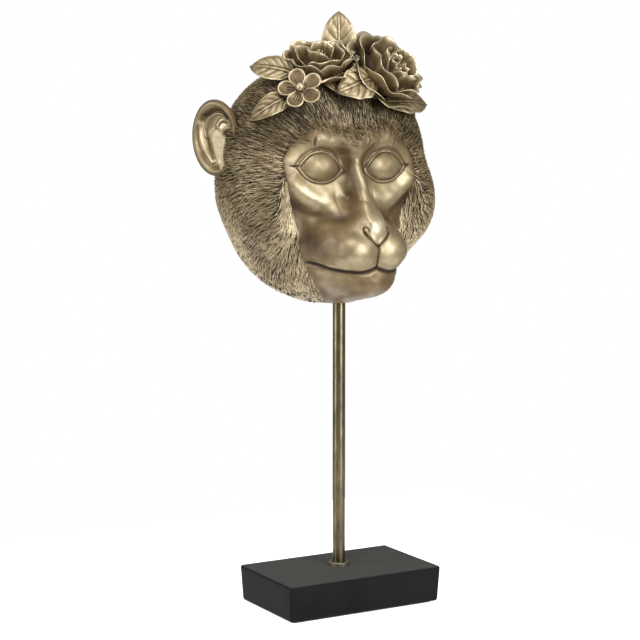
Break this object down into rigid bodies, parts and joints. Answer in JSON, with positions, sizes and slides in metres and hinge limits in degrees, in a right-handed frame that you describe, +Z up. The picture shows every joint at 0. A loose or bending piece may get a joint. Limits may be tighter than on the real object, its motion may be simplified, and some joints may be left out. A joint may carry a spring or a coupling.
{
  "type": "monkey mask ornament",
  "caption": "Decorative monkey head mask with a flower crown, cast and gold-painted, open at the back, on a slim rod and a block base.",
  "frame": {"origin": "on the resting plane, directly under the rod's axis", "axes": "+Z up along the rod, the face looks along -Y, +X is the object's own left; the block's long side runs along X"},
  "size_m": [0.1638, 0.0937, 0.3747],
  "materials": {
    "gold_resin": "cast resin, satin gold paint with dark olive-brown patina in the recesses",
    "gold_rod": "steel rod with satin gold paint",
    "collar_steel": "dark bronze paint, worn bright at the edge",
    "black_block": "satin black paint",
    "fastener_steel": "zinc-plated steel",
    "felt": "black felt"
  },
  "bodies": {
    "root": {"head_shell": "gold_resin", "ear_left": "gold_resin", "ear_right": "gold_resin", "rose_large": "gold_resin", "rose_small": "gold_resin", "blossom": "gold_resin", "leaf_top": "gold_resin", "leaf_left_high": "gold_resin", "leaf_left_low": "gold_resin", "leaf_front": "gold_resin", "leaf_right": "gold_resin", "leaf_under_rose": "gold_resin", "rod": "gold_rod", "collar": "collar_steel", "base_block": "black_block", "felt_sheet": "felt", "foot_screw": "fastener_steel", "foot_washer": "fastener_steel", "head_washer": "fastener_steel", "head_nut": "fastener_steel"}
  },
  "joints": []
}
